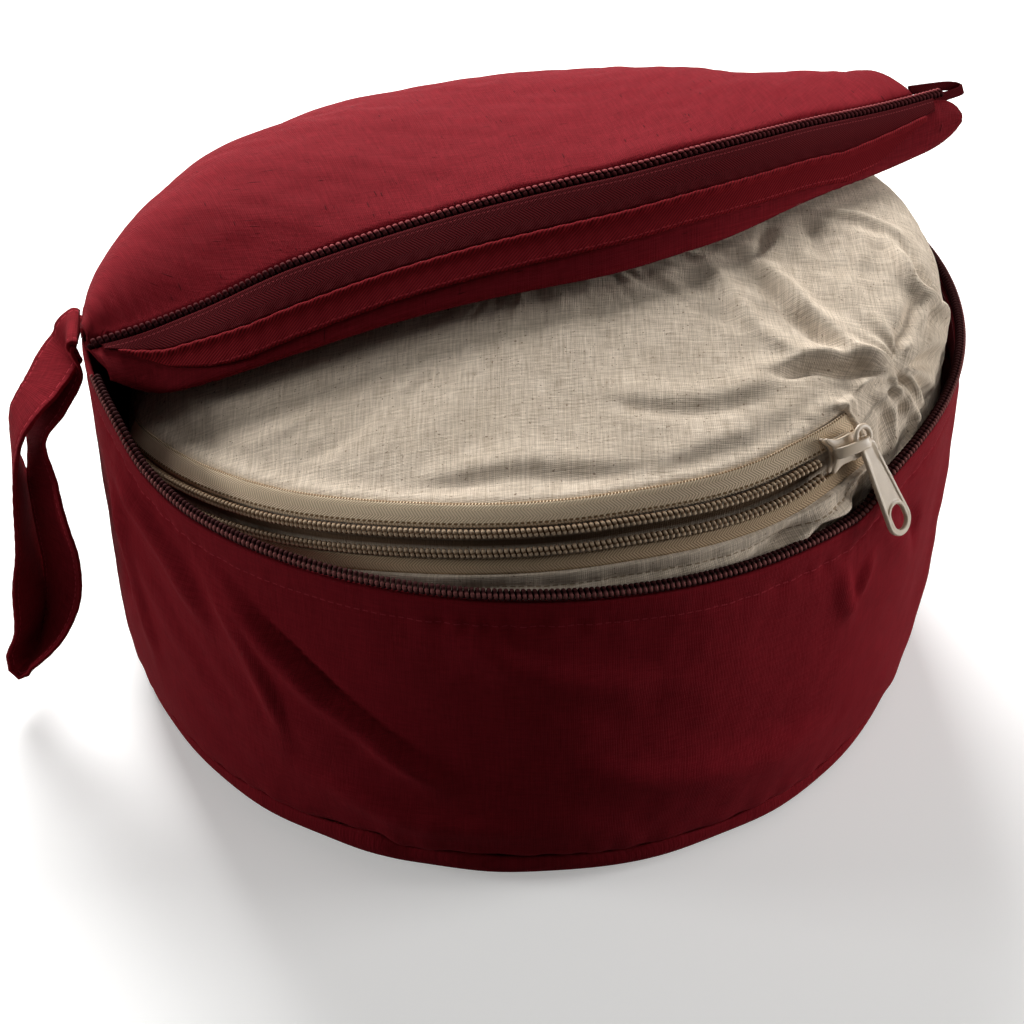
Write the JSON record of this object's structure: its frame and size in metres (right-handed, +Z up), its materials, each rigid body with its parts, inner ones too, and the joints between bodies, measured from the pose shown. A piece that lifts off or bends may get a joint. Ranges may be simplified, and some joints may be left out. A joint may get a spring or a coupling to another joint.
{
  "type": "zafu meditation cushion",
  "caption": "Round meditation cushion with a zipped cotton cover, its lid folded back to show the filled inner casing.",
  "frame": {"origin": "centre of the flat underside", "axes": "+Z up out of the underside; -Y is the open front, -X the side with the carrying strap"},
  "size_m": [0.3792, 0.3267, 0.2108],
  "materials": {
    "burgundy_cotton": "plain woven cotton",
    "burgundy_zip_tape": "woven tape",
    "burgundy_zip_coil": "moulded coil teeth",
    "burgundy_twill_tape": "twill tape",
    "unbleached_cotton": "plain woven, unbleached",
    "beige_zip_tape": "woven tape",
    "beige_zip_coil": "moulded coil teeth",
    "beige_enamel": "smooth enamel"
  },
  "bodies": {
    "root": {"cover_base": "burgundy_cotton", "cover_wall": "burgundy_cotton", "cover_lid": "burgundy_cotton", "cover_strap": "burgundy_cotton", "cover_zip_tape_wall": "burgundy_zip_tape", "cover_zip_coil_wall": "burgundy_zip_coil", "cover_zip_tape_lid": "burgundy_zip_tape", "cover_zip_coil_lid": "burgundy_zip_coil", "cover_seam_tape": "burgundy_twill_tape", "casing": "unbleached_cotton", "casing_zip_tape_top": "beige_zip_tape", "casing_zip_coil_top": "beige_zip_coil", "casing_zip_tape_bottom": "beige_zip_tape", "casing_zip_coil_bottom": "beige_zip_coil", "casing_zip_slider": "beige_enamel", "casing_zip_pull": "beige_enamel"}
  },
  "joints": []
}
